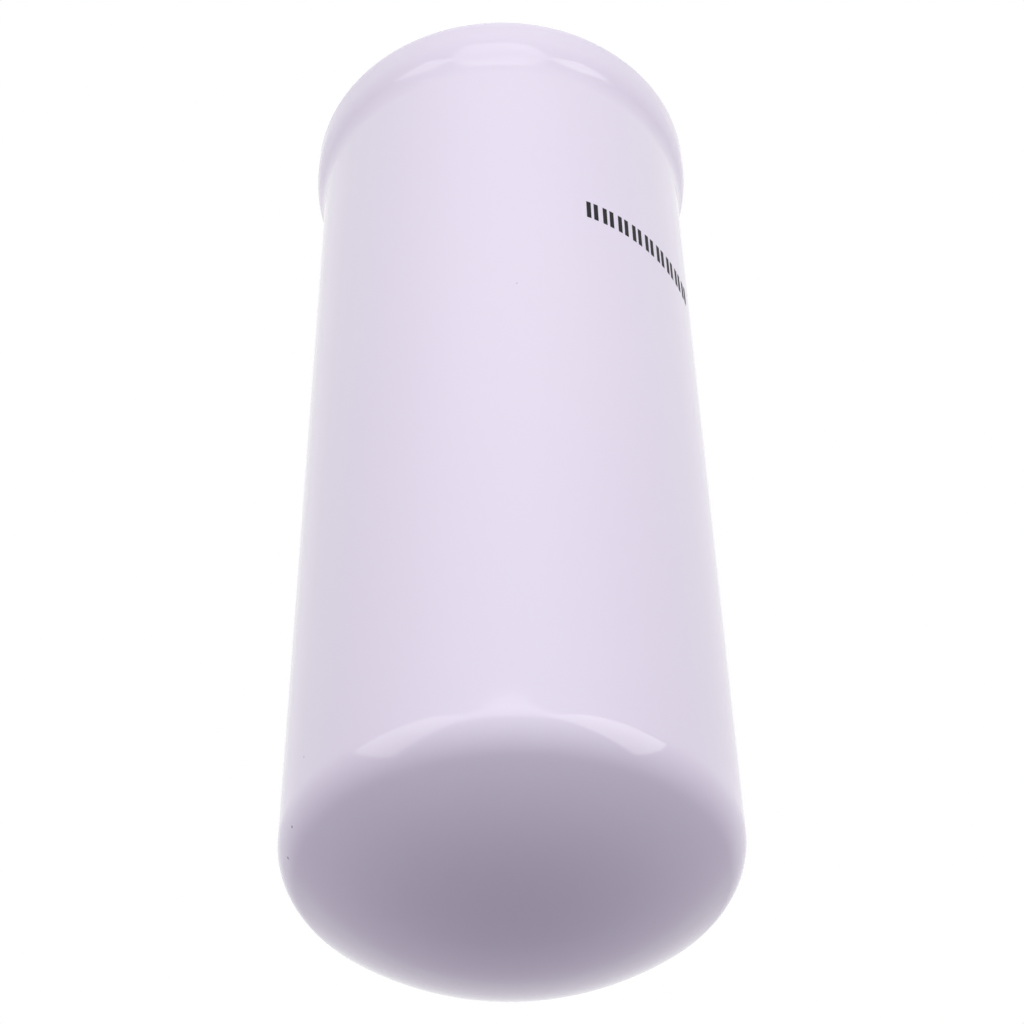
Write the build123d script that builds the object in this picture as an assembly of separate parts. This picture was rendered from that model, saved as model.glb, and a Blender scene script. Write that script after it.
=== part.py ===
from build123d import *
import math
import os

# Spin-on hydraulic filter, hung from its thread with the dome down.
# The origin is the centre of the threaded hole at the outer face of the top plate, +Z points out
# of the open end, and every length is in millimetres. Heights below the plate's face are negative.

# The can, drawn from one sheet of steel.
can_radius = 46.4
can_wall = 1.2
can_length = 242.4
bulge_step = 2.35
bulge_length = 4.0
bulge_blend = 13.0
lip_corner = 4.5
lip_land = 1.2
lip_drop = 0.2
knuckle_radius = 10.3
crown_radius = 68.0

# The top plate, with its threaded hub, inlet ports and grooves.
thread_radius = 17.5
plate_thickness = 14.0
spigot_wall = 2.5
spigot_length = 9.0
spigot_chamfer = 1.0
hub_ledge = 3.0
hub_step = 4.0
gallery_depth = 2.5
gallery_land = 0.15
port_count = 6
port_radius = 5.2
groove_rib = 1.35
seal_groove_width = 2.6
seal_groove_depth = 2.4

# The rubber seals.
gasket_width = 5.0
gasket_height = 5.0
gasket_stand = 1.2
gasket_bevel = 0.6
grommet_wall = 1.8
grommet_flange = 2.0
grommet_flange_width = 4.15

# The element: end caps, potting, centre tube and the folded sheets.
cap_wall = 0.8
cap_rim = 8.0
cap_bevel = 0.8
potting_depth = 3.5
tube_wall = 0.8
slot_width = 3.4
slot_length = 10.0
slot_rows = 9
slots_round = 8
pleat_count = 32
outer_fold_width = 2.6
inner_fold_width = 2.0
media_thickness = 0.8
mesh_thickness = 0.3
clip_wall = 0.4
clip_depth = 6.0

# The bypass valve in the lower end cap.
seat_bore_radius = 8.5
seat_wall = 3.5
seat_flange_width = 3.5
seat_flange = 2.5
nozzle_width = 1.8
nozzle_height = 1.0
stake_width = 1.4
stake_height = 1.2
poppet_overlap = 3.0
poppet_disc = 1.6
poppet_seal = 2.0
rivet_radius = 4.0
rivet_lip = 1.4
rivet_head = 0.8
stem_radius = 3.0
stem_reach = 3.0
shoulder_width = 1.8
shoulder_height = 5.6
valve_lift = 5.0
spring_wire = 1.2
spring_length = 15.2
active_turns = 3
runs_per_turn = 12
guide_wall = 1.2
guide_collar = 2.92
guide_arm_width = 6.5
guide_arm_count = 3

# The leaf spring that holds the element up against the hub.
leaf_count = 4
leaf_wall = 0.8
leaf_width = 10.0
leaf_web = 6.0
leaf_height = 10.2
leaf_inset = 5.5
leaf_toe = 2.5

# Fits and gaps between pieces.
plate_fit = 0.1
lip_gap = 0.3
groove_fit = 0.1
seal_gap = 0.2
rubber_fit = 0.05
cap_fit = 0.05
neck_gap = 0.2
sheet_gap = 0.03
pack_gap = 0.2
oil_gap = 3.2
stem_fit = 0.08
stop_gap = 0.02
spring_gap = 1.0
stake_gap = 2.6
leaf_gap = 0.1

# Places that follow from the sizes above.
bulge_radius = can_radius + bulge_step
lip_top = -lip_drop
lip_edge_radius = bulge_radius - lip_corner - lip_land
bulge_top = lip_top - lip_corner
blend_top = bulge_top - bulge_length
blend_bottom = blend_top - bulge_blend
blend_radius = (bulge_step**2 + bulge_blend**2) / (4 * bulge_step)
blend_angle = math.degrees(2 * math.atan(bulge_step / bulge_blend))
can_bottom = lip_top - can_length
knuckle_centre_radius = can_radius - knuckle_radius
crown_to_knuckle = crown_radius - knuckle_radius
knuckle_angle = math.degrees(math.acos(knuckle_centre_radius / crown_to_knuckle))
crown_centre = can_bottom + crown_radius
knuckle_top = crown_centre - math.sqrt(crown_to_knuckle**2 - knuckle_centre_radius**2)

spigot_radius = thread_radius + spigot_wall
hub_radius = spigot_radius + hub_ledge
hub_shoulder = plate_thickness + hub_step
hub_length = hub_shoulder + spigot_length
plate_radius = bulge_radius - can_wall - plate_fit
land_radius = lip_edge_radius - lip_gap
groove_outer_radius = land_radius - groove_rib
gasket_outer_radius = groove_outer_radius - groove_fit
gasket_inner_radius = gasket_outer_radius - gasket_width
groove_inner_radius = gasket_inner_radius - groove_fit
groove_depth = gasket_height - gasket_stand
gallery_outer_radius = groove_inner_radius - groove_rib
gallery_inner_radius = hub_radius + gallery_land
port_ring_radius = (gallery_inner_radius + gallery_outer_radius) / 2
seal_groove_top = bulge_top - (bulge_length - seal_groove_width) / 2
seal_groove_bottom = seal_groove_top - seal_groove_width
seal_groove_radius = plate_radius - seal_groove_depth

grommet_inner_radius = spigot_radius + rubber_fit
grommet_outer_radius = grommet_inner_radius + grommet_wall
grommet_flange_radius = grommet_outer_radius + grommet_flange_width
grommet_depth = spigot_length - spigot_chamfer - grommet_flange
neck_radius = grommet_outer_radius + rubber_fit
tube_radius = neck_radius + cap_wall + neck_gap + tube_wall
cap_radius = can_radius - can_wall - oil_gap
leaf_heel_radius = cap_radius - leaf_inset
leaf_corner_radius = math.hypot(leaf_heel_radius, leaf_width / 2)
leaf_heel = crown_centre - math.sqrt((crown_radius - can_wall) ** 2 - leaf_corner_radius**2) + leaf_gap
element_top = -hub_shoulder - grommet_flange
element_bottom = leaf_heel + leaf_height
tube_top = element_top - cap_wall
tube_bottom = element_bottom + cap_wall
pack_top = tube_top - potting_depth
pack_bottom = tube_bottom + potting_depth
pack_inner_radius = tube_radius + pack_gap
pack_outer_radius = cap_radius - cap_wall - cap_fit - clip_wall - pack_gap
sheet_half = media_thickness / 2 + sheet_gap + mesh_thickness
outer_fold_radius = pack_outer_radius - sheet_half
inner_fold_radius = pack_inner_radius + sheet_half

seat_spigot_radius = seat_bore_radius + seat_wall
seat_flange_radius = seat_spigot_radius + seat_flange_width
stake_radius = seat_spigot_radius + stake_width
poppet_radius = seat_bore_radius + poppet_overlap
rivet_head_radius = rivet_radius + rivet_lip
shoulder_radius = stem_radius + shoulder_width
guide_bore_radius = stem_radius + stem_fit
guide_collar_radius = guide_bore_radius + guide_collar
guide_arm_radius = seat_flange_radius - guide_wall
spring_radius = guide_collar_radius + spring_gap + spring_wire / 2
leaf_hole_radius = stake_radius + stake_gap
leaf_hub_radius = leaf_hole_radius + leaf_web
seat_flange_top = tube_bottom + seat_flange
nozzle_top = seat_flange_top + nozzle_height
disc_bottom = nozzle_top + poppet_seal
disc_top = disc_bottom + poppet_disc
spring_top = disc_top + spring_length
shoulder_top = disc_top + shoulder_height
collar_bottom = shoulder_top + valve_lift + stop_gap
guide_top = spring_top + guide_wall


def turned(points):
    """A solid of revolution about Z from a closed outline of (radius, height) points."""
    outline = Polyline(*points, close=True)
    return revolve(Plane.XZ * make_face(outline), Axis.Z)


def ring(inner, outer, bottom, top):
    """A plain ring between two radii and two heights."""
    return turned([(inner, bottom), (outer, bottom), (outer, top), (inner, top)])


def can_side(inset):
    """The can's wall line from the lip to the middle of the dome, moved in by inset."""
    lip_centre = (bulge_radius - lip_corner, bulge_top)
    bulge_centre = (bulge_radius - blend_radius, blend_top)
    waist_centre = (can_radius + blend_radius, blend_bottom)
    knuckle_centre = (knuckle_centre_radius, knuckle_top)
    return [
        Line((lip_edge_radius, lip_top - inset), (lip_centre[0], lip_top - inset)),
        CenterArc(lip_centre, lip_corner - inset, 90, -90),
        Line((bulge_radius - inset, bulge_top), (bulge_radius - inset, blend_top)),
        CenterArc(bulge_centre, blend_radius - inset, 0, -blend_angle),
        CenterArc(waist_centre, blend_radius + inset, 180 - blend_angle, blend_angle),
        Line((can_radius - inset, blend_bottom), (can_radius - inset, knuckle_top)),
        CenterArc(knuckle_centre, knuckle_radius - inset, 0, -knuckle_angle),
        CenterArc((0, crown_centre), crown_radius - inset, -knuckle_angle, knuckle_angle - 90),
    ]


def make_canister():
    """The drawn shell: dome, straight body, bulge and the lip rolled in over the plate."""
    edges = can_side(0) + can_side(can_wall)
    edges.append(Line((lip_edge_radius, lip_top), (lip_edge_radius, lip_top - can_wall)))
    edges.append(Line((0, can_bottom), (0, can_bottom + can_wall)))
    return revolve(Plane.XZ * make_face(edges), Axis.Z)


def make_top_plate():
    """The thick plate under the lip, with its chamfered rim and its hub bored for the thread."""
    corner_chamfer = lip_corner - can_wall - plate_fit
    rim_radius = blend_radius - can_wall - plate_fit
    rim_drop = plate_thickness + blend_top
    rim_foot = plate_radius - rim_radius + math.sqrt(rim_radius**2 - rim_drop**2)
    plate = turned(
        [
            (thread_radius, 0),
            (gallery_inner_radius, 0),
            (gallery_inner_radius, -gallery_depth),
            (gallery_outer_radius, -gallery_depth),
            (gallery_outer_radius, 0),
            (groove_inner_radius, 0),
            (groove_inner_radius, -groove_depth),
            (groove_outer_radius, -groove_depth),
            (groove_outer_radius, 0),
            (land_radius, 0),
            (land_radius, bulge_top + corner_chamfer),
            (plate_radius - corner_chamfer, bulge_top + corner_chamfer),
            (plate_radius, bulge_top),
            (plate_radius, seal_groove_top),
            (seal_groove_radius, seal_groove_top),
            (seal_groove_radius, seal_groove_bottom),
            (plate_radius, seal_groove_bottom),
            (plate_radius, blend_top),
            (rim_foot, -plate_thickness),
            (hub_radius, -plate_thickness),
            (hub_radius, -hub_shoulder),
            (spigot_radius, -hub_shoulder),
            (spigot_radius, -hub_length + spigot_chamfer),
            (spigot_radius - spigot_chamfer, -hub_length),
            (thread_radius, -hub_length),
        ]
    )
    port = Cylinder(port_radius, 3 * plate_thickness)
    return plate - [place * port for place in PolarLocations(port_ring_radius, port_count)]


def make_head_gasket():
    """The square-cut ring that stands proud of the plate and seals on the head."""
    return turned(
        [
            (gasket_inner_radius, -groove_depth),
            (gasket_outer_radius, -groove_depth),
            (gasket_outer_radius, gasket_stand - gasket_bevel),
            (gasket_outer_radius - gasket_bevel, gasket_stand),
            (gasket_inner_radius + gasket_bevel, gasket_stand),
            (gasket_inner_radius, gasket_stand - gasket_bevel),
        ]
    )


def make_plate_seal():
    """The ring in the plate's side groove, which seals against the bulge of the can."""
    inner = seal_groove_radius + rubber_fit
    outer = bulge_radius - can_wall - rubber_fit
    return ring(inner, outer, seal_groove_bottom + seal_gap, seal_groove_top - seal_gap)


def make_hub_grommet():
    """The flanged rubber bush between the hub's spigot and the neck of the element."""
    return turned(
        [
            (grommet_inner_radius, element_top - grommet_depth),
            (grommet_outer_radius, element_top - grommet_depth),
            (grommet_outer_radius, element_top),
            (grommet_flange_radius, element_top),
            (grommet_flange_radius, -hub_shoulder),
            (grommet_inner_radius, -hub_shoulder),
        ]
    )


def make_upper_end_cap():
    """The pressed cap on the open end, with its neck turned in and its rim turned down."""
    return turned(
        [
            (neck_radius, element_top - grommet_depth),
            (neck_radius + cap_wall, element_top - grommet_depth),
            (neck_radius + cap_wall, tube_top),
            (cap_radius - cap_wall, tube_top),
            (cap_radius - cap_wall, element_top - cap_rim),
            (cap_radius, element_top - cap_rim),
            (cap_radius, element_top - cap_bevel),
            (cap_radius - cap_bevel, element_top),
            (neck_radius, element_top),
        ]
    )


def make_lower_end_cap():
    """The pressed cap on the dome side, with the hole for the bypass valve."""
    return turned(
        [
            (seat_spigot_radius + cap_fit, element_bottom),
            (cap_radius - cap_bevel, element_bottom),
            (cap_radius, element_bottom + cap_bevel),
            (cap_radius, element_bottom + cap_rim),
            (cap_radius - cap_wall, element_bottom + cap_rim),
            (cap_radius - cap_wall, tube_bottom),
            (seat_spigot_radius + cap_fit, tube_bottom),
        ]
    )


def make_potting(bottom):
    """The ring of cured adhesive that seals the ends of the folds into an end cap."""
    return ring(tube_radius + cap_fit, cap_radius - cap_wall - cap_fit, bottom, bottom + potting_depth)


def make_centre_tube():
    """The steel tube that keeps the folds from collapsing inwards, punched with rows of slots."""
    tube = ring(tube_radius - tube_wall, tube_radius, tube_bottom, tube_top)
    slot = Box(4 * tube_wall, slot_width, slot_length)
    row_pitch = (pack_top - pack_bottom) / slot_rows
    slots = []
    for row in range(slot_rows):
        turn = row % 2 * 180 / slots_round
        height = pack_bottom + (row + 0.5) * row_pitch
        for place in PolarLocations(tube_radius, slots_round, start_angle=turn):
            slots.append(Pos(0, 0, height) * place * slot)
    return tube - slots


def pleat_outline(shift):
    """The folded line of the pack seen from the end, moved outwards by shift."""
    pitch = 360 / pleat_count
    outer_half = outer_fold_width / 2 + shift
    inner_half = inner_fold_width / 2 - shift
    points = []
    for fold in range(pleat_count):
        for side in (-1, 1):
            crest = Vector(outer_fold_radius + shift, side * outer_half)
            points.append(crest.rotate(Axis.Z, fold * pitch))
        for side in (-1, 1):
            valley = Vector(inner_fold_radius + shift, side * inner_half)
            points.append(valley.rotate(Axis.Z, (fold + 0.5) * pitch))
    return make_face(Polyline(*points, close=True))


def folded_sheet(inner_shift, outer_shift):
    """One sheet of the pack between two shifts of the folded line."""
    section = pleat_outline(outer_shift) - pleat_outline(inner_shift)
    return Pos(0, 0, pack_bottom) * extrude(section, pack_top - pack_bottom)


def make_seam_clip():
    """The strip of thin steel folded over the outer crest where the pack's two ends are joined."""
    back = pack_outer_radius + sheet_gap
    half = outer_fold_width / 2 + sheet_half + pack_gap
    height = pack_top - pack_bottom
    middle = (pack_top + pack_bottom) / 2
    depth = clip_depth + clip_wall
    block = Pos(back + clip_wall - depth / 2, 0, middle) * Box(depth, 2 * (half + clip_wall), height)
    space = Pos(back - clip_depth / 2, 0, middle) * Box(clip_depth, 2 * half, height)
    return block - space


def make_valve_seat():
    """The turned seat, staked into the lower end cap, with a raised nozzle for the poppet."""
    return turned(
        [
            (seat_bore_radius, element_bottom - stake_height),
            (stake_radius - stake_height / 2, element_bottom - stake_height),
            (stake_radius, element_bottom),
            (seat_spigot_radius, element_bottom),
            (seat_spigot_radius, tube_bottom),
            (seat_flange_radius, tube_bottom),
            (seat_flange_radius, seat_flange_top),
            (seat_bore_radius + nozzle_width, seat_flange_top),
            (seat_bore_radius + nozzle_width / 2, nozzle_top),
            (seat_bore_radius, nozzle_top),
        ]
    )


def make_valve_poppet():
    """The poppet: stem, stop shoulder, disc and the riveted end that holds the seal."""
    stem_top = guide_top + stem_reach
    return turned(
        [
            (0, nozzle_top - rivet_head),
            (rivet_head_radius, nozzle_top - rivet_head),
            (rivet_head_radius, nozzle_top),
            (rivet_radius, nozzle_top),
            (rivet_radius, disc_bottom),
            (poppet_radius, disc_bottom),
            (poppet_radius, disc_top),
            (shoulder_radius, disc_top),
            (shoulder_radius, shoulder_top),
            (stem_radius, shoulder_top),
            (stem_radius, stem_top),
            (0, stem_top),
        ]
    )


def make_poppet_seal():
    """The flat rubber washer that the poppet presses on the nozzle."""
    return ring(rivet_radius + rubber_fit, poppet_radius, nozzle_top, disc_bottom)


def coil_height(turns):
    """Height of the spring's wire centre above its foot after so many turns, with closed ends."""
    rise = spring_length - spring_wire
    closed = spring_wire + 0.2
    total = active_turns + 2
    if turns > total / 2:
        return rise - coil_height(total - turns)
    if turns < 0.5:
        return 0.0
    if turns < 1:
        return closed * (turns - 0.5) / 0.5
    return closed + (rise / 2 - closed) * (turns - 1) / (total / 2 - 1)


def make_valve_spring():
    """The coil spring above the poppet, its wire a six-sided bar in short straight runs."""
    wire = RegularPolygon(spring_wire / 2, 6, major_radius=False)
    foot = disc_top + spring_wire / 2
    sections = []
    for step in range((active_turns + 2) * runs_per_turn + 1):
        turns = step / runs_per_turn
        out = Vector(1, 0, 0).rotate(Axis.Z, 360 * turns)
        along = Vector(0, 1, 0).rotate(Axis.Z, 360 * turns)
        centre = out * spring_radius + Vector(0, 0, foot + coil_height(turns))
        sections.append(Plane(centre, x_dir=out, z_dir=along) * wire)
    return loft(sections, ruled=True)


def make_valve_guide():
    """The three-armed stirrup on the seat, with the collar that guides the stem."""
    collar = ring(guide_bore_radius, guide_collar_radius, collar_bottom, guide_top)
    arm_outline = make_face(
        Polyline(
            (stem_radius + guide_wall, spring_top),
            (guide_arm_radius, spring_top),
            (guide_arm_radius, seat_flange_top),
            (seat_flange_radius, seat_flange_top),
            (seat_flange_radius, guide_top - guide_wall / 2),
            (seat_flange_radius - guide_wall / 2, guide_top),
            (stem_radius + guide_wall, guide_top),
            close=True,
        )
    )
    arm = extrude(Plane.XZ * arm_outline, guide_arm_width / 2, both=True)
    guide = collar
    for place in PolarLocations(0, guide_arm_count):
        guide += place * arm
    return guide


def make_hold_down_spring():
    """The pressed spring-steel star between the dome and the lower end cap."""
    toe_radius = leaf_heel_radius + leaf_toe
    leaf_outline = make_face(
        Polyline(
            (leaf_hole_radius + leaf_wall, element_bottom),
            (leaf_hub_radius, element_bottom),
            (leaf_heel_radius, leaf_heel + leaf_wall),
            (toe_radius - leaf_wall, leaf_heel + leaf_wall + leaf_toe),
            (toe_radius, leaf_heel + leaf_toe),
            (leaf_heel_radius, leaf_heel),
            (leaf_hub_radius, element_bottom - leaf_wall),
            (leaf_hole_radius + leaf_wall, element_bottom - leaf_wall),
            close=True,
        )
    )
    leaf = extrude(Plane.XZ * leaf_outline, leaf_width / 2, both=True)
    web = extrude(RegularPolygon(leaf_hub_radius, 2 * leaf_count), leaf_wall)
    star = Pos(0, 0, element_bottom - leaf_wall) * web
    for place in PolarLocations(0, leaf_count):
        star += place * leaf
    return star - Pos(0, 0, element_bottom) * Cylinder(leaf_hole_radius, 4 * leaf_wall)


nodes = {
    "canister": make_canister(),
    "top_plate": make_top_plate(),
    "head_gasket": make_head_gasket(),
    "plate_seal": make_plate_seal(),
    "hub_grommet": make_hub_grommet(),
    "upper_end_cap": make_upper_end_cap(),
    "upper_potting": make_potting(pack_top),
    "centre_tube": make_centre_tube(),
    "inner_support_mesh": folded_sheet(-sheet_half, -sheet_half + mesh_thickness),
    "filter_media": folded_sheet(-media_thickness / 2, media_thickness / 2),
    "outer_support_mesh": folded_sheet(sheet_half - mesh_thickness, sheet_half),
    "seam_clip": make_seam_clip(),
    "lower_potting": make_potting(tube_bottom),
    "lower_end_cap": make_lower_end_cap(),
    "valve_seat": make_valve_seat(),
    "valve_poppet": make_valve_poppet(),
    "poppet_seal": make_poppet_seal(),
    "valve_spring": make_valve_spring(),
    "valve_guide": make_valve_guide(),
    "hold_down_spring": make_hold_down_spring(),
}

os.makedirs("parts", exist_ok=True)
for name, shape in nodes.items():
    export_step(shape, f"parts/{name}.step")
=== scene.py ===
import math

import bmesh
import bpy
import numpy as np
from mathutils import Matrix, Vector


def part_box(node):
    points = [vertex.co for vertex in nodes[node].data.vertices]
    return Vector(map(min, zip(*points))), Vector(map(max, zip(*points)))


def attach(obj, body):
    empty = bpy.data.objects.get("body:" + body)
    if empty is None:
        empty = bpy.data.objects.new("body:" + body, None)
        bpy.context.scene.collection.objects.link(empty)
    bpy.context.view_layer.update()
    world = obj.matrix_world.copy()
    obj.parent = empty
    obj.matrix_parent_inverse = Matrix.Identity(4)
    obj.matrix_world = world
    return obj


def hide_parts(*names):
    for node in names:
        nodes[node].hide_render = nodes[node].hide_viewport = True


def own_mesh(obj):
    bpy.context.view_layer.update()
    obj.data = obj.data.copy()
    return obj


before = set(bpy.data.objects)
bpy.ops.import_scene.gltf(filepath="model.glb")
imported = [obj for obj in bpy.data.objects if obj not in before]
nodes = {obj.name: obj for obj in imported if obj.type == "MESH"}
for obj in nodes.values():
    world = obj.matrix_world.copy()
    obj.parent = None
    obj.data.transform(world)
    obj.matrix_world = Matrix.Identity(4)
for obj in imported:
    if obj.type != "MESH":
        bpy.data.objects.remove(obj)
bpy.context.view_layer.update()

# The can: one cup of mild steel, deep drawn with a domed floor, rolled out to the bulge at its mouth
# and curled in over the top plate. It is sprayed with white enamel and baked hard.
mm = 0.001
can_low, can_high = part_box("canister")
can_top = can_high[2]
can_bottom = can_low[2]
bulge_radius = can_high[0]
body_radius = 46.4 * mm
can_wall = 1.2 * mm
bulge_length = 4.0 * mm
bulge_blend = 13.0 * mm
lip_corner = 4.5 * mm
lip_land = 1.2 * mm
lip_edge_round = 0.35 * mm
knuckle_radius = 10.3 * mm
crown_radius = 68.0 * mm
weld_distance = 0.0001 * mm
sharp_bend = 40
round_steps = 320
edge_steps = 5
outer_fineness = 3
inner_fineness = 2
# Points on the lip, on each half of the shoulder, on the wall, the knuckle and the crown, for each
# step of fineness.
outline_steps = (8, 7, 6, 12, 10)


def arc(centre, radius, start, turn, steps):
    """Points at equal angles on an arc: centre + radius * (cos, sin) of start to start + turn degrees."""
    angles = np.radians(np.linspace(start, start + turn, steps))
    return np.column_stack((centre[0] + radius * np.cos(angles), centre[1] + radius * np.sin(angles)))


def run(start, end, steps):
    """Points at equal steps on a straight line: start + (end - start) * t for t from 0 to 1."""
    share = np.linspace(0, 1, steps)[:, None]
    return np.asarray(start) * (1 - share) + np.asarray(end) * share


def can_outline(inset, fineness):
    """The wall line from lip to dome, moved in by inset: tangent arcs of radius r - inset outside the
    line's centre of curvature and r + inset where it bends the other way."""
    step = bulge_radius - body_radius
    blend = (step**2 + bulge_blend**2) / (4 * step)
    blend_turn = math.degrees(2 * math.atan(step / bulge_blend))
    bulge_top = can_top - lip_corner
    blend_top = bulge_top - bulge_length
    blend_bottom = blend_top - bulge_blend
    knuckle_centre = body_radius - knuckle_radius
    between = crown_radius - knuckle_radius
    knuckle_turn = math.degrees(math.acos(knuckle_centre / between))
    crown_centre = can_bottom + crown_radius
    knuckle_top = crown_centre - math.sqrt(between**2 - knuckle_centre**2)
    wall = body_radius - inset
    on_lip, on_shoulder, on_wall, on_knuckle, on_crown = (count * fineness for count in outline_steps)
    lip_centre = (bulge_radius - lip_corner, bulge_top)
    bulge_centre = (bulge_radius - blend, blend_top)
    waist_centre = (body_radius + blend, blend_bottom)
    return np.vstack(
        (
            arc(lip_centre, lip_corner - inset, 90, -90, on_lip),
            arc(bulge_centre, blend - inset, 0, -blend_turn, on_shoulder),
            arc(waist_centre, blend + inset, 180 - blend_turn, blend_turn, on_shoulder),
            run((wall, blend_bottom), (wall, knuckle_top), on_wall)[1:],
            arc((knuckle_centre, knuckle_top), knuckle_radius - inset, 0, -knuckle_turn, on_knuckle)[1:],
            arc((0, crown_centre), crown_radius - inset, -knuckle_turn, knuckle_turn - 90, on_crown)[1:],
        )
    )


def grid_cells(points, close_rows, close_columns):
    """The faces of a grid of points: corners (i, j), (i + 1, j), (i + 1, j + 1), (i, j + 1), counted
    round where the grid closes."""
    rows, columns = points.shape[:2]
    i, j = np.meshgrid(
        np.arange(rows if close_rows else rows - 1),
        np.arange(columns if close_columns else columns - 1),
        indexing="ij",
    )
    below, beside = (i + 1) % rows, (j + 1) % columns
    corners = (i * columns + j, below * columns + j, below * columns + beside, i * columns + beside)
    return np.stack(corners, -1).reshape(-1, 4)


def mesh_piece(name, points, cells, sharp=sharp_bend):
    """A smooth shaded object from points and four-sided cells, welded, with its faces turned outwards
    and its edges kept sharp where they bend by more than sharp degrees."""
    mesh = bpy.data.meshes.new(name)
    mesh.from_pydata(points.tolist(), [], cells.tolist())
    work = bmesh.new()
    work.from_mesh(mesh)
    bmesh.ops.remove_doubles(work, verts=work.verts, dist=weld_distance)
    bmesh.ops.recalc_face_normals(work, faces=work.faces)
    work.to_mesh(mesh)
    work.free()
    mesh.polygons.foreach_set("use_smooth", np.ones(len(mesh.polygons), bool))
    mesh.set_sharp_from_angle(angle=math.radians(sharp))
    piece = bpy.data.objects.new(name, mesh)
    bpy.context.scene.collection.objects.link(piece)
    return piece


def grid_piece(name, points, close_rows=True, sharp=sharp_bend):
    """A mesh from one grid of points, closed round its columns. Points that meet are merged."""
    cells = grid_cells(points, close_rows, True)
    return mesh_piece(name, points.reshape(-1, 3), cells, sharp)


def round_the_axis(outline, steps):
    """An outline (radius, height) carried round Z: x = r cos a, y = r sin a, z = height."""
    angles = np.linspace(0, 2 * math.pi, steps, endpoint=False)
    x, y = np.outer(np.cos(angles), outline[:, 0]), np.outer(np.sin(angles), outline[:, 0])
    return np.stack((x, y, np.outer(np.ones(steps), outline[:, 1])), -1)


def linear(code):
    """Linear RGBA of an sRGB hex colour: c / 12.92 up to 0.04045, else ((c + 0.055) / 1.055) ** 2.4."""
    channels = [int(code[place : place + 2], 16) / 255 for place in (0, 2, 4)]
    return [c / 12.92 if c <= 0.04045 else ((c + 0.055) / 1.055) ** 2.4 for c in channels] + [1]


def add(tree, kind, inputs=None, **settings):
    """Adds a node: settings are its properties, and inputs its values or the sockets linked to them."""
    made = tree.nodes.new(kind)
    for name, value in settings.items():
        setattr(made, name, value)
    for name, value in (inputs or {}).items():
        if isinstance(value, bpy.types.NodeSocket):
            tree.links.new(value, made.inputs[name])
        else:
            made.inputs[name].default_value = value
    return made


def surface(name, inputs):
    """A new material with a Principled shader, and the place on the object in its own coordinates."""
    material = bpy.data.materials.new(name)
    material.use_nodes = True
    tree = material.node_tree
    tree.nodes.clear()
    shader = add(tree, "ShaderNodeBsdfPrincipled", inputs)
    add(tree, "ShaderNodeOutputMaterial", {"Surface": shader.outputs["BSDF"]})
    place = add(tree, "ShaderNodeTexCoord").outputs["Object"]
    return material, tree, shader, place


def dress(piece, material):
    """Gives a piece one material in place of what it had."""
    piece.data.materials.clear()
    piece.data.materials.append(material)


enamel_colour = "E1D9EC"
enamel_warm = "E3DBEB"
enamel_drift = 60 * mm
orange_peel = 2.6 * mm
peel_strength = 0.05
peel_depth = 0.02 * mm
speck_colour = "8F8699"
speck_core = 0.4
# Of each speck of dust: distance from the axis, height, degrees round from the front, and radius.
specks = (
    (45.2 * mm, -224.4 * mm, -68.3, 0.38 * mm),
    (44.2 * mm, -225.9 * mm, -78.9, 0.42 * mm),
    (46.4 * mm, -101.1 * mm, 3.9, 0.2 * mm),
    (46.4 * mm, -213.3 * mm, -58.9, 0.25 * mm),
    (45.6 * mm, -1.4 * mm, -5.5, 0.4 * mm),
)


def baked_white_enamel():
    """Sprayed and baked enamel: a hard clear gloss over soft white, with the faint waves of orange
    peel in its reflections and a few specks of dust caught in the wet coat."""
    material, tree, shader, place = surface("baked_white_enamel", {"Roughness": 0.05, "IOR": 1.5})
    drift = add(tree, "ShaderNodeTexNoise", {"Vector": place, "Scale": 1 / enamel_drift, "Detail": 1.0})
    whites = {"Factor": drift.outputs["Fac"], "A": linear(enamel_colour), "B": linear(enamel_warm)}
    colour = add(tree, "ShaderNodeMix", whites, data_type="RGBA").outputs["Result"]
    for radius, height, turn, size in specks:
        spot = (radius * math.sin(math.radians(turn)), -radius * math.cos(math.radians(turn)), height)
        apart = add(tree, "ShaderNodeVectorMath", {0: place, 1: spot}, operation="DISTANCE")
        fade = {
            "Value": apart.outputs["Value"],
            "From Min": speck_core * size,
            "From Max": size,
            "To Min": 1.0,
            "To Max": 0.0,
        }
        speck = add(tree, "ShaderNodeMapRange", fade, interpolation_type="SMOOTHSTEP")
        spotted = {"Factor": speck.outputs["Result"], "A": colour, "B": linear(speck_colour)}
        colour = add(tree, "ShaderNodeMix", spotted, data_type="RGBA").outputs["Result"]
    tree.links.new(colour, shader.inputs["Base Color"])
    peel = add(tree, "ShaderNodeTexNoise", {"Vector": place, "Scale": 1 / orange_peel, "Detail": 1.0})
    waves = {"Height": peel.outputs["Fac"], "Strength": peel_strength, "Distance": peel_depth}
    tree.links.new(add(tree, "ShaderNodeBump", waves).outputs["Normal"], shader.inputs["Normal"])
    return material


edge_radius = bulge_radius - lip_corner - lip_land + lip_edge_round
lip_edge = arc((edge_radius, can_top - lip_edge_round), lip_edge_round, 180, -90, edge_steps)
lip_under = arc((edge_radius, can_top - can_wall + lip_edge_round), lip_edge_round, -90, -90, edge_steps)
outer_line = can_outline(0, outer_fineness)
inner_line = can_outline(can_wall, inner_fineness)[::-1]
can_section = np.vstack((lip_edge, outer_line, inner_line, lip_under))
canister = grid_piece("canister_shell", round_the_axis(can_section, round_steps))
dress(canister, baked_white_enamel())
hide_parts("canister")
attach(canister, "filter")

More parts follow.
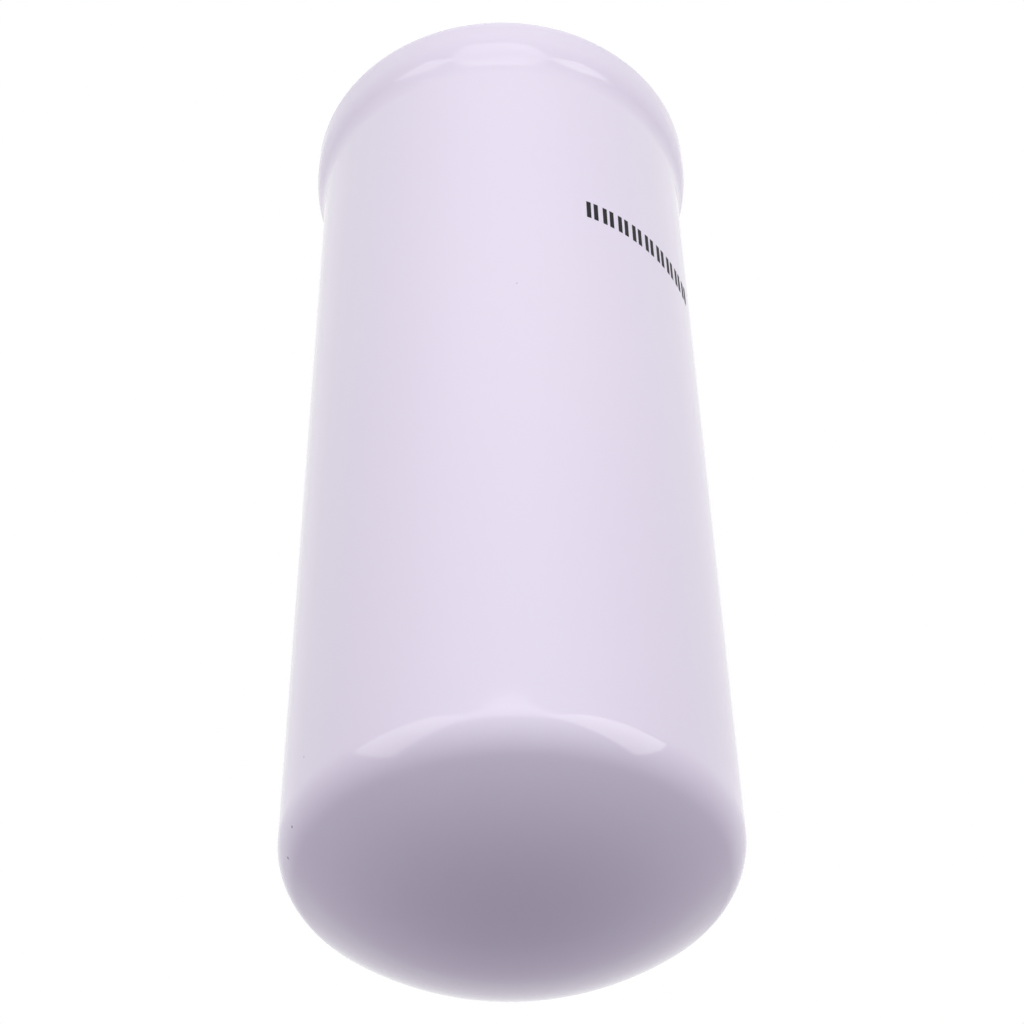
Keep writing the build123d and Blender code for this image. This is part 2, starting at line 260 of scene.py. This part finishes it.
# The print: a row of plain black bars in pairs, screen printed round the can in one pass of thick
# ink. Each bar is a film of ink with its own thin edge.
print_top = -67.1 * mm
print_height = 5.75 * mm
print_start = 24.5
print_end = 73.0
bar_pairs = 9
bar_width = 1.15 * mm
bar_gap = 0.75 * mm
bar_columns = 5
bar_bend = 30
ink_film = 0.03 * mm
ink_colour = "17151A"
ink_grey = "232127"
ink_grain = 0.3 * mm


def ink_bars(name):
    """Thin curved boxes on the can's wall: each is a closed ring of four points, inner and outer at
    the bar's two heights, carried from its left edge to its right edge round the can."""
    points, cells = [], []
    pitch = math.radians(print_end - print_start) / bar_pairs
    spread = (bar_gap + bar_width) / 2 / body_radius
    half = bar_width / 2 / body_radius
    inner, outer = body_radius - ink_film, body_radius + ink_film
    foot = print_top - print_height
    ring = np.array([(inner, foot), (outer, foot), (outer, print_top), (inner, print_top)])
    corners = np.arange(len(ring))
    ends = np.array([corners, corners + len(ring) * (bar_columns - 1)])
    for pair in range(bar_pairs):
        for side in (-spread, spread):
            middle = math.radians(print_start) + (pair + 0.5) * pitch + side
            angles = np.linspace(middle - half, middle + half, bar_columns)
            x, y = np.outer(np.sin(angles), ring[:, 0]), -np.outer(np.cos(angles), ring[:, 0])
            bar = np.stack((x, y, np.outer(np.ones(bar_columns), ring[:, 1])), -1)
            first = len(points) * bar_columns * len(ring)
            cells.append(np.vstack((grid_cells(bar, False, True), ends)) + first)
            points.append(bar.reshape(-1, 3))
    return mesh_piece(name, np.vstack(points), np.vstack(cells), bar_bend)


def printed_ink():
    """Black screen ink: dense and matt beside the enamel, with the grain of the print's mesh."""
    matt = {"Roughness": 0.5, "IOR": 1.5, "Specular IOR Level": 0.12}
    material, tree, shader, place = surface("printed_black_ink", matt)
    grain = add(tree, "ShaderNodeTexNoise", {"Vector": place, "Scale": 1 / ink_grain, "Detail": 2.0})
    blacks = {"Factor": grain.outputs["Fac"], "A": linear(ink_colour), "B": linear(ink_grey)}
    colour = add(tree, "ShaderNodeMix", blacks, data_type="RGBA").outputs["Result"]
    tree.links.new(colour, shader.inputs["Base Color"])
    return material


bars = ink_bars("printed_bars")
dress(bars, printed_ink())
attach(bars, "filter")

# The leaf spring: a star with four leaves, pressed from strip steel, hardened and quenched in oil. It
# stands on the dome with its leaves bent down, and pushes the element up against the hub.
blued_colour = "474B53"
blued_brown = "5B5349"
tint_size = 14 * mm
scale_size = 0.8 * mm
patch_low = 0.3
patch_high = 0.7


def mottled(tree, place, size, first, second, detail=2.0):
    """Two sRGB colours that drift into each other by noise, in patches about size across."""
    noise = add(tree, "ShaderNodeTexNoise", {"Vector": place, "Scale": 1 / size, "Detail": detail})
    range_of_noise = {"Value": noise.outputs["Fac"], "From Min": patch_low, "From Max": patch_high}
    spread = add(tree, "ShaderNodeMapRange", range_of_noise)
    colours = {"Factor": spread.outputs["Result"], "A": linear(first), "B": linear(second)}
    return add(tree, "ShaderNodeMix", colours, data_type="RGBA").outputs["Result"]


def lay_on(tree, shader, colour, height, depth, roughness):
    """Gives the shader a colour, the relief of a height field depth metres deep, and a roughness that
    runs from the first value at the field's low places to the second at its high ones."""
    bump = add(tree, "ShaderNodeBump", {"Height": height, "Strength": 1.0, "Distance": depth})
    tree.links.new(colour, shader.inputs["Base Color"])
    tree.links.new(bump.outputs["Normal"], shader.inputs["Normal"])
    rough = {"Value": height, "To Min": roughness[0], "To Max": roughness[1]}
    tree.links.new(add(tree, "ShaderNodeMapRange", rough).outputs["Result"], shader.inputs["Roughness"])


def oil_blued_steel(name):
    """Spring steel blackened in oil: dark blue-grey oxide with browner clouds and a soft, even sheen."""
    material, tree, shader, place = surface(name, {"Metallic": 1.0})
    colour = mottled(tree, place, tint_size, blued_colour, blued_brown)
    scale = add(tree, "ShaderNodeTexNoise", {"Vector": place, "Scale": 1 / scale_size, "Detail": 3.0})
    lay_on(tree, shader, colour, scale.outputs["Fac"], depth=0.01 * mm, roughness=(0.34, 0.52))
    return material


dress(nodes["hold_down_spring"], oil_blued_steel("oil_blued_spring_steel"))

# The bypass valve's hard parts: seat and poppet are turned from bar and zinc plated, and the guide is
# pressed from plated sheet and stands on the seat with three legs.
zinc_colour = "C6C9CC"
zinc_blue = "B7BEC6"
plating_size = 9 * mm
valve_feed = 0.4 * mm
sheet_colour = "C9CAC8"
sheet_shade = "B9BBBB"
grain_width = 0.5 * mm
grain_length = 14 * mm


def from_axis(tree, place):
    """Each point's distance from the Z axis, which is the length of (x, y, 0), and its height z."""
    flat = add(tree, "ShaderNodeVectorMath", {0: place, 1: (1, 1, 0)}, operation="MULTIPLY")
    radius = add(tree, "ShaderNodeVectorMath", {0: flat.outputs["Vector"]}, operation="LENGTH")
    height = add(tree, "ShaderNodeSeparateXYZ", {0: place})
    return radius.outputs["Value"], height.outputs["Z"]


def waves_along(tree, distance, pitch):
    """Even waves between -1 and 1, one in each pitch of a distance: sin(2 pi distance / pitch)."""
    angle = add(tree, "ShaderNodeMath", {0: distance, 1: 2 * math.pi / pitch}, operation="MULTIPLY")
    return add(tree, "ShaderNodeMath", {0: angle.outputs["Value"]}, operation="SINE").outputs["Value"]


def rolling_grain(tree, place, stretch):
    """Noise drawn out into long lines, the way in which the sheet went through the rolls."""
    along = add(tree, "ShaderNodeMapping", {"Vector": place, "Scale": stretch})
    lines = {"Vector": along.outputs["Vector"], "Scale": 1.0, "Detail": 2.0}
    return add(tree, "ShaderNodeTexNoise", lines).outputs["Fac"]


def turned_zinc(name, feed):
    """Zinc over turned steel: pale bluish metal with the tool's fine grooves, one feed apart, as waves
    along radius plus height, so they run round on a flat face and on a wall alike. The real feed is
    about 0.15 mm, and is drawn wider so that it shows."""
    material, tree, shader, place = surface(name, {"Metallic": 1.0})
    colour = mottled(tree, place, plating_size, zinc_colour, zinc_blue)
    radius, height = from_axis(tree, place)
    travel = add(tree, "ShaderNodeMath", {0: radius, 1: height}).outputs["Value"]
    groove = {"Value": waves_along(tree, travel, feed), "From Min": -1.0, "From Max": 1.0}
    level = add(tree, "ShaderNodeMapRange", groove).outputs["Result"]
    lay_on(tree, shader, colour, level, depth=0.006 * mm, roughness=(0.26, 0.34))
    return material


def rolled_tinplate(name):
    """Tin-plated sheet: bright, slightly warm metal with the long faint grain of the rolling mill."""
    material, tree, shader, place = surface(name, {"Metallic": 1.0})
    grain = rolling_grain(tree, place, (1 / grain_length, 1 / grain_width, 1 / grain_width))
    colour = mottled(tree, place, plating_size, sheet_colour, sheet_shade)
    lay_on(tree, shader, colour, grain, depth=0.008 * mm, roughness=(0.22, 0.36))
    return material


valve_zinc = turned_zinc("zinc_plated_turned_steel", valve_feed)
dress(nodes["valve_seat"], valve_zinc)
dress(nodes["valve_poppet"], valve_zinc)
tinplate = rolled_tinplate("rolled_tinplate")
dress(nodes["valve_guide"], tinplate)

# The poppet's washer: a flat ring cut from moulded nitrile rubber, which closes on the seat's nozzle.
# It is held against the disc by the poppet's riveted end.
nitrile_colour = "1D1D1F"
nitrile_bloom = "2A2A2B"
bloom_size = 5 * mm
rubber_grain = 0.35 * mm


def moulded_nitrile():
    """Nitrile rubber: near black and matt, with a thin grey bloom and the fine grain of its mould."""
    material, tree, shader, place = surface("moulded_nitrile_rubber", {"IOR": 1.52})
    colour = mottled(tree, place, bloom_size, nitrile_colour, nitrile_bloom)
    grain = add(tree, "ShaderNodeTexNoise", {"Vector": place, "Scale": 1 / rubber_grain, "Detail": 2.0})
    lay_on(tree, shader, colour, grain.outputs["Fac"], depth=0.02 * mm, roughness=(0.5, 0.68))
    return material


nitrile = moulded_nitrile()
dress(nodes["poppet_seal"], nitrile)

# The valve's coil spring: round oil-tempered wire, three turns at work and one closed turn at each
# end. It stands on the poppet's disc and bears on the guide.
coil_low, coil_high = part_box("valve_spring")
coil_length = coil_high[2] - coil_low[2]
wire_radius = 0.6 * mm
coil_radius = 7.6 * mm
coil_turns = 5
closed_rise = 1.4 * mm
wire_steps = 72
wire_sides = 14
wire_bend = 50


def closed_tube(name, skin, tips, sharp):
    """A tube from its rings of points: one more ring at each end, all of it at one tip, closes it."""
    start, end = (np.broadcast_to(tip, (1, *skin.shape[1:])) for tip in tips)
    return grid_piece(name, np.concatenate((start, skin, end)), close_rows=False, sharp=sharp)


def wound_wire(name):
    """A tube along a helix: centre (R cos t, R sin t, h(t)), with h flat for half a turn, rising
    by just over one wire to the end of the first turn, then evenly, and the same from the top. Round
    each centre the ring is r (cos u N + sin u B), with N radial and B across N and the way along."""
    turns = np.linspace(0, coil_turns, coil_turns * wire_steps + 1)
    rise = coil_length - 2 * wire_radius
    places = [0, 0.5, 1, coil_turns - 1, coil_turns - 0.5, coil_turns]
    heights = [0, 0, closed_rise, rise - closed_rise, rise, rise]
    t = 2 * math.pi * turns
    lift = np.interp(turns, places, heights)
    centre = np.column_stack((coil_radius * np.cos(t), coil_radius * np.sin(t), lift))
    centre[:, 2] += coil_low[2] + wire_radius
    along = np.gradient(centre, axis=0)
    radial = np.column_stack((np.cos(t), np.sin(t), np.zeros_like(t)))
    across = np.cross(radial, along)
    across /= np.linalg.norm(across, axis=1)[:, None]
    u = np.linspace(0, 2 * math.pi, wire_sides, endpoint=False)
    ring = np.cos(u)[None, :, None] * radial[:, None] + np.sin(u)[None, :, None] * across[:, None]
    return closed_tube(name, centre[:, None] + wire_radius * ring, (centre[0], centre[-1]), wire_bend)


coil = wound_wire("valve_coil")
dress(coil, oil_blued_steel("oil_tempered_spring_wire"))
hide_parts("valve_spring")
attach(coil, "filter")
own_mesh(coil)

# The element's frame: two pressed end caps, the clip that joins the folded sheets, and a tube of
# strip steel punched with slots.
tube_colour = "A7A9AB"
tube_shade = "96999C"


def punched_strip():
    """Cold rolled strip, oiled and not plated: plain grey metal with rolling lines along the tube."""
    material, tree, shader, place = surface("cold_rolled_strip_steel", {"Metallic": 1.0})
    lines = rolling_grain(tree, place, (1 / grain_width, 1 / grain_width, 1 / grain_length))
    colour = mottled(tree, place, plating_size, tube_colour, tube_shade)
    lay_on(tree, shader, colour, lines, depth=0.01 * mm, roughness=(0.32, 0.46))
    return material


for name in ("lower_end_cap", "upper_end_cap", "seam_clip"):
    dress(nodes[name], tinplate)
dress(nodes["centre_tube"], punched_strip())

# The folded pack: a felt of glass fibre between two nettings, all three folded together, so that oil
# finds a way along each fold.
felt_colour = "F0EBDB"
felt_shade = "E1D8C2"
felt_patch = 7 * mm
fibre_size = 0.5 * mm
thread_colour = "E6E4DD"
# The gaps between the netting's threads: a darker copy of the thread colour, as painted shade.
netting_gap_painted_shade = "BFB9AB"
netting_pitch = 0.9 * mm


def glass_felt():
    """Resin-bonded glass fibre: a soft cream felt with no gloss, its fibres a tangle of fine noise."""
    material, tree, shader, place = surface("resin_bonded_glass_felt", {"IOR": 1.45})
    tangle = {"Vector": place, "Scale": 1 / fibre_size, "Detail": 6.0, "Distortion": 1.5}
    fibres = add(tree, "ShaderNodeTexNoise", tangle)
    colour = mottled(tree, place, felt_patch, felt_colour, felt_shade, detail=4.0)
    lay_on(tree, shader, colour, fibres.outputs["Fac"], depth=0.12 * mm, roughness=(0.86, 0.98))
    return material


def woven_netting():
    """Polyester netting: pale threads that cross as a grid of humps, the larger of a sine of the
    radius and a sine of the height. The low gaps between the threads are darker: painted shade.
    Threads 0.45 mm apart are drawn at twice that, so that they show."""
    material, tree, shader, place = surface("woven_polyester_netting", {"IOR": 1.54})
    rings, rows = (waves_along(tree, distance, netting_pitch) for distance in from_axis(tree, place))
    threads = add(tree, "ShaderNodeMath", {0: rings, 1: rows}, operation="MAXIMUM").outputs["Value"]
    humps = {"Value": threads, "From Min": -0.6, "From Max": 0.8}
    level = add(tree, "ShaderNodeMapRange", humps).outputs["Result"]
    # The colour runs from painted shade in the low gaps to the pale threads on the humps.
    colours = {"Factor": level, "A": linear(netting_gap_painted_shade), "B": linear(thread_colour)}
    colour = add(tree, "ShaderNodeMix", colours, data_type="RGBA").outputs["Result"]
    lay_on(tree, shader, colour, level, depth=0.1 * mm, roughness=(0.75, 0.5))
    return material


netting = woven_netting()
dress(nodes["inner_support_mesh"], netting)
dress(nodes["outer_support_mesh"], netting)
dress(nodes["filter_media"], glass_felt())

# The potting: two rings of adhesive, poured into the end caps round the ends of the folds and cured
# there, so that no oil passes between the folds and the caps.
potting_colour = "3E4B36"
potting_shade = "48563C"
potting_patch = 12 * mm
bubble_size = 1.6 * mm


def cured_potting():
    """Two-part adhesive: glossy olive green, smooth where it levelled, with shallow bubbles all over."""
    material, tree, shader, place = surface("cured_polyurethane_potting", {"IOR": 1.5})
    bubbles = add(tree, "ShaderNodeTexVoronoi", {"Vector": place, "Scale": 1 / bubble_size})
    dimple = {"Value": bubbles.outputs["Distance"], "From Min": 0.05, "From Max": 0.3}
    level = add(tree, "ShaderNodeMapRange", dimple, interpolation_type="SMOOTHSTEP").outputs["Result"]
    colour = mottled(tree, place, potting_patch, potting_colour, potting_shade)
    lay_on(tree, shader, colour, level, depth=0.05 * mm, roughness=(0.4, 0.24))
    return material


potting = cured_potting()
dress(nodes["lower_potting"], potting)
dress(nodes["upper_potting"], potting)

# The rubber bush between hub and element, and the ring between the plate's side and the can: both
# moulded nitrile, pushed into place by hand.
dress(nodes["hub_grommet"], nitrile)
dress(nodes["plate_seal"], nitrile)

# The top plate: turned from thick steel with its hub in one piece, six ports drilled through the
# bottom of the gallery, grooves for the gasket and the side ring, and zinc plated all over.
plate_thickness = 14.0 * mm
plate_radius = 47.45 * mm
corner_chamfer = 3.2 * mm
rim_foot = 46.62 * mm
land_radius = 42.75 * mm
groove_outer = 41.4 * mm
groove_inner = 36.2 * mm
groove_depth = 3.8 * mm
gallery_outer = 34.85 * mm
gallery_inner = 23.15 * mm
gallery_depth = 2.5 * mm
side_groove_top = -5.4 * mm
side_groove_bottom = -8.0 * mm
side_groove_radius = 45.05 * mm
shoulder_top = -4.7 * mm
shoulder_bottom = -8.7 * mm
hub_radius = 23.0 * mm
hub_shoulder = 18.0 * mm
spigot_radius = 20.0 * mm
hub_length = 27.0 * mm
spigot_chamfer = 1.0 * mm
thread_root = 17.5 * mm
thread_mouth = 0.8 * mm
port_count = 6
port_radius = 5.2 * mm
port_edge = 0.4 * mm
edge_cut = 0.25 * mm
port_steps = 60
band_rows = 6
band_growth = 1.6
plate_feed = 0.55 * mm


def eased(outline, cut):
    """An open outline with each inner corner cut back by cut metres along both of its lines, or by a
    third of a line that is short."""
    line = np.diff(outline, axis=0)
    length = np.linalg.norm(line, axis=1)
    trim = np.minimum(cut, length / 3)[:, None] * line / length[:, None]
    corner = outline[1:-1]
    pairs = np.stack((corner - trim[:-1], corner + trim[1:]), 1).reshape(-1, 2)
    return np.vstack((outline[:1], pairs, outline[-1:]))


def around_port():
    """The columns round a port at (ring radius, 0): the edge of its 60 degree sector of the gallery,
    an inner arc, a spoke, an outer arc and a spoke, and the direction of each from the port's centre."""
    half = math.pi / port_count
    sweep = np.linspace(-half, half, port_steps, endpoint=False)
    climb = np.linspace(gallery_inner, gallery_outer, port_steps // 3, endpoint=False)
    fall = gallery_inner + gallery_outer - climb
    inner, outer = np.full(port_steps, gallery_inner), np.full(port_steps, gallery_outer)
    reach = np.concatenate((inner, climb, outer, fall))
    turn = np.concatenate((sweep, np.full(len(climb), half), -sweep, np.full(len(fall), -half)))
    edge = np.column_stack((reach * np.cos(turn), reach * np.sin(turn)))
    centre = np.array([(gallery_inner + gallery_outer) / 2, 0])
    way = edge - centre
    return centre, edge, way / np.linalg.norm(way, axis=1)[:, None]


def port_band(height):
    """A sixth of a flat ring with a port in it: p = (1 - s) circle + s edge, at one height, with the
    steps of s growing from the circle outwards."""
    centre, edge, way = around_port()
    circle = centre + (port_radius + port_edge) * way
    share = np.linspace(0, 1, band_rows)[:, None, None] ** band_growth
    flat = (1 - share) * circle + share * edge
    return np.concatenate((flat, np.full((*flat.shape[:2], 1), height)), -1)


def port_wall():
    """The drilled wall of a port with both its edges countersunk: p = centre + r (cos, sin) for the
    radius and height of each row."""
    centre, _, way = around_port()
    top, foot = -gallery_depth, -plate_thickness
    radii = np.array([port_radius + port_edge, port_radius, port_radius, port_radius + port_edge])
    heights = np.array([top, top - port_edge, foot + port_edge, foot])
    flat = centre + radii[:, None, None] * way
    levels = np.broadcast_to(heights[:, None, None], (len(heights), len(way), 1))
    return np.concatenate((flat, levels), -1)


def turned_about(grid, turn):
    """A grid of points turned about Z: x cos t - y sin t, x sin t + y cos t, z."""
    c, s = math.cos(turn), math.sin(turn)
    return grid @ np.array([[c, s, 0], [-s, c, 0], [0, 0, 1]])


def joined(name, grids):
    """One welded mesh from several grids, each with its rows and its columns closed or open."""
    points, cells, first = [], [], 0
    for grid, close_rows, close_columns in grids:
        cells.append(grid_cells(grid, close_rows, close_columns) + first)
        points.append(grid.reshape(-1, 3))
        first += len(points[-1])
    return mesh_piece(name, np.vstack(points), np.vstack(cells))


outer_side = np.array(
    [
        (gallery_outer, -gallery_depth),
        (gallery_outer, 0),
        (groove_inner, 0),
        (groove_inner, -groove_depth),
        (groove_outer, -groove_depth),
        (groove_outer, 0),
        (land_radius, 0),
        (land_radius, shoulder_top + corner_chamfer),
        (plate_radius - corner_chamfer, shoulder_top + corner_chamfer),
        (plate_radius, shoulder_top),
        (plate_radius, side_groove_top),
        (side_groove_radius, side_groove_top),
        (side_groove_radius, side_groove_bottom),
        (plate_radius, side_groove_bottom),
        (plate_radius, shoulder_bottom),
        (rim_foot, -plate_thickness),
        (gallery_outer, -plate_thickness),
    ]
)
inner_side = np.array(
    [
        (gallery_inner, -plate_thickness),
        (hub_radius, -plate_thickness),
        (hub_radius, -hub_shoulder),
        (spigot_radius, -hub_shoulder),
        (spigot_radius, spigot_chamfer - hub_length),
        (spigot_radius - spigot_chamfer, -hub_length),
        (thread_root + thread_mouth, -hub_length),
        (thread_root, thread_mouth - hub_length),
        (thread_root, -thread_mouth),
        (thread_root + thread_mouth, 0),
        (gallery_inner, 0),
        (gallery_inner, -gallery_depth),
    ]
)
plate_grids = []
for side in (outer_side, inner_side):
    plate_grids.append((round_the_axis(eased(side, edge_cut), port_count * port_steps), True, False))
for turn in np.linspace(0, 2 * math.pi, port_count, endpoint=False):
    for patch in (port_band(-gallery_depth), port_band(-plate_thickness), port_wall()):
        plate_grids.append((turned_about(patch, turn), False, True))
plate = joined("threaded_plate", plate_grids)
dress(plate, turned_zinc("zinc_plated_faced_steel", plate_feed))
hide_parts("top_plate")
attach(plate, "filter")

# The hub's thread, for the head's nipple: right-handed, twelve turns to the inch, cut in the bore and
# plated with the plate. Its ridges stand 1.15 mm proud of the root, on which the bore is drawn.
thread_pitch = 25.4 / 12 * mm
ridge_foot = 1.85 * mm
ridge_crest = 0.53 * mm
ridge_height = 1.15 * mm
ridge_sink = 0.05 * mm
ridge_start = 0.02
ridge_growth = 6
ridge_bend = 20
thread_steps = 90


def thread_ridge(name):
    """A ridge along a right-hand helix (r cos t, r sin t, c t): each ring has two corners sunk in the
    wall and two at the crest, whose height grows from nothing and back over a sixth of a turn."""
    low, high = thread_mouth + ridge_foot / 2 - hub_length, -thread_mouth - ridge_foot / 2
    turns = (high - low) / thread_pitch
    t = np.linspace(0, turns, round(turns * thread_steps))
    grown = np.clip(np.minimum(t, turns - t) * ridge_growth, ridge_start, 1)
    foot = np.full_like(t, thread_root + ridge_sink)
    crest = foot - grown * (ridge_sink + ridge_height)
    radius = np.column_stack((foot, crest, crest, foot))
    section = np.array([-ridge_foot, -ridge_crest, ridge_crest, ridge_foot]) / 2
    height = (low + thread_pitch * t)[:, None] + section
    turn = 2 * math.pi * t[:, None]
    skin = np.stack((radius * np.cos(turn), radius * np.sin(turn), height), -1)
    return closed_tube(name, skin, (skin[0].mean(0), skin[-1].mean(0)), ridge_bend)


thread = thread_ridge("hub_thread")
dress(thread, valve_zinc)
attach(thread, "filter")

# The head gasket: a ring of nitrile rubber, moulded nearly square with small round edges and pressed
# into the plate's outer groove, from which it stands 1.2 mm.
gasket_low, gasket_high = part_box("head_gasket")
gasket_outer = gasket_high[0]
gasket_inner = 36.3 * mm
gasket_round = 0.6 * mm
gasket_round_steps = 7


def rounded_section(inner, outer, bottom, top, radius):
    """A rectangle with quarter circles at its corners, as (radius, height) points round it."""
    left, right = inner + radius, outer - radius
    low, high = bottom + radius, top - radius
    corners = ((right, high, 0), (left, high, 90), (left, low, 180), (right, low, 270))
    return np.vstack([arc((x, y), radius, start, 90, gasket_round_steps) for x, y, start in corners])


gasket_section = rounded_section(gasket_inner, gasket_outer, gasket_low[2], gasket_high[2], gasket_round)
gasket = grid_piece("square_gasket", round_the_axis(gasket_section, round_steps))
dress(gasket, nitrile)
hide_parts("head_gasket")
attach(gasket, "filter")

# The studio: a pale painted floor below the hanging filter, and a white surround that lights it most
# from behind and least from the sides. Two soft boxes stand in front to the left and right, a
# reflector low behind and a weaker one low in front, and a far strip shows only as a highlight.
floor_height = -0.95
floor_radius = 6.0
floor_sides = 64
floor_colour = "82798C"
floor_lift = 0.74
surround_fill = 0.26
surround_back = 1.0
surround_front = 0.39
white = (1, 1, 1, 1)


def seen_directly(tree):
    """1 for rays of the camera and for those that see the studio in gloss or through glass, else 0."""
    rays = add(tree, "ShaderNodeLightPath")
    seen = rays.outputs["Is Camera Ray"]
    for kind in ("Is Glossy Ray", "Is Transmission Ray"):
        either = add(tree, "ShaderNodeMath", {0: seen, 1: rays.outputs[kind]}, operation="MAXIMUM")
        seen = either.outputs["Value"]
    return seen


def painted_floor():
    """Matt floor paint, lifted to white where it is seen. The can hangs too far above it, in light
    from all sides, for its shadow to show."""
    paint = {"Roughness": 0.9, "Base Color": linear(floor_colour), "Emission Color": white}
    material, tree, shader, _ = surface("pale_painted_floor", paint)
    lift = add(tree, "ShaderNodeMath", {0: seen_directly(tree), 1: floor_lift}, operation="MULTIPLY")
    tree.links.new(lift.outputs["Value"], shader.inputs["Emission Strength"])
    return material


def flat_sheet(name, corners):
    """A flat object of one face, with the corners in order round its edge."""
    mesh = bpy.data.meshes.new(name)
    mesh.from_pydata(corners, [], [list(range(len(corners)))])
    sheet = bpy.data.objects.new(name, mesh)
    bpy.context.scene.collection.objects.link(sheet)
    return sheet


floor_ring = arc((0, 0), floor_radius, 0, 360, floor_sides + 1)[:-1]
floor = flat_sheet("floor", [(x, y, floor_height) for x, y in floor_ring])
dress(floor, painted_floor())

world = bpy.data.worlds.new("white_surround")
bpy.context.scene.world = world
world.use_nodes = True
sky = world.node_tree
sky.nodes.clear()
way = add(sky, "ShaderNodeSeparateXYZ", {0: add(sky, "ShaderNodeTexCoord").outputs["Generated"]}).outputs["Y"]
behind = add(sky, "ShaderNodeMath", {0: way, 1: surround_back}, operation="MULTIPLY", use_clamp=True)
before = add(sky, "ShaderNodeMath", {0: way, 1: -surround_front}, operation="MULTIPLY", use_clamp=True)
sides = add(sky, "ShaderNodeMath", {0: behind.outputs["Value"], 1: before.outputs["Value"]})
strength = add(sky, "ShaderNodeMath", {0: sides.outputs["Value"], 1: surround_fill}).outputs["Value"]
light = add(sky, "ShaderNodeBackground", {"Color": white, "Strength": strength}).outputs["Background"]
backdrop = add(sky, "ShaderNodeBackground", {"Color": white, "Strength": 1.0}).outputs["Background"]
both = add(sky, "ShaderNodeMixShader", {0: seen_directly(sky), 1: light, 2: backdrop})
add(sky, "ShaderNodeOutputWorld", {"Surface": both.outputs["Shader"]})

# Of each soft box: its name, its radiance, and its corners as azimuth and height in degrees.
soft_boxes = (
    ("soft_box_left", 2.72, ((-76, 22), (-37, 35.5), (-14, 21), (-57, -22))),
    ("soft_box_right", 3.1, ((15, 21), (43, 35.5), (76, 24), (60, -20))),
)
strip_glow = 2.35
strip_distance = 6.0
strip_directions = ((-17, 36.6), (17, 36.6), (27, 14), (-27, 14))
low_glow = 0.95
low_directions = ((-42, 0), (42, 0), (42, -22), (-42, -22))
reflector_glow = 1.85
reflector_corners = ((-1.2, 1.0, -0.78), (1.2, 1.0, -0.78), (1.2, 1.0, 0.2), (-1.2, 1.0, 0.2))
knuckle_place = (0.0, -0.03, -0.22)


def towards(directions, distance=1.0):
    """Points at a distance from the can's knuckle, in directions of azimuth from the camera's side
    and height above level: x = cos h sin a, y = -cos h cos a, z = sin h."""
    turn, rise = np.radians(np.array(directions, float)).T
    reach = np.column_stack((np.cos(rise) * np.sin(turn), -np.cos(rise) * np.cos(turn), np.sin(rise)))
    return (np.array(knuckle_place) + distance * reach).tolist()


def glowing_panel(name, corners, radiance):
    """A flat panel of even light, which neither the camera sees nor a shadow shows."""
    panel = flat_sheet(name, corners)
    glow = bpy.data.materials.new(name)
    glow.use_nodes = True
    glow.node_tree.nodes.clear()
    light = add(glow.node_tree, "ShaderNodeEmission", {"Strength": radiance})
    add(glow.node_tree, "ShaderNodeOutputMaterial", {"Surface": light.outputs["Emission"]})
    dress(panel, glow)
    panel.visible_camera = False
    panel.visible_shadow = False
    return panel


for name, radiance, directions in soft_boxes:
    glowing_panel(name, towards(directions), radiance)
reflector = glowing_panel("reflector", reflector_corners, reflector_glow)
reflector.visible_glossy = False
low_panel = glowing_panel("low_panel", towards(low_directions), low_glow)
low_panel.visible_glossy = False
strip = glowing_panel("strip_light", towards(strip_directions, strip_distance), strip_glow)
strip.visible_diffuse = False

# The camera: in front of the can and far below it, tilted up past the dome as in the photograph. Its
# turn, rise and roll are in degrees from level and straight ahead along Y.
camera_place = (0.0, -0.35045, -0.4572)
camera_turn = 0.20512
camera_rise = 43.2977
camera_roll = -1.10952
camera_data = bpy.data.cameras.new("camera")
camera_data.lens = 74.04
camera_data.sensor_width = 36.0
camera_data.clip_start = 0.01
camera = bpy.data.objects.new("camera", camera_data)
bpy.context.scene.collection.objects.link(camera)
camera.matrix_world = (
    Matrix.Translation(camera_place)
    @ Matrix.Rotation(math.radians(-camera_turn), 4, "Z")
    @ Matrix.Rotation(math.radians(90 + camera_rise), 4, "X")
    @ Matrix.Rotation(math.radians(camera_roll), 4, "Z")
)
bpy.context.scene.camera = camera
bpy.context.scene.view_settings.view_transform = "Standard"
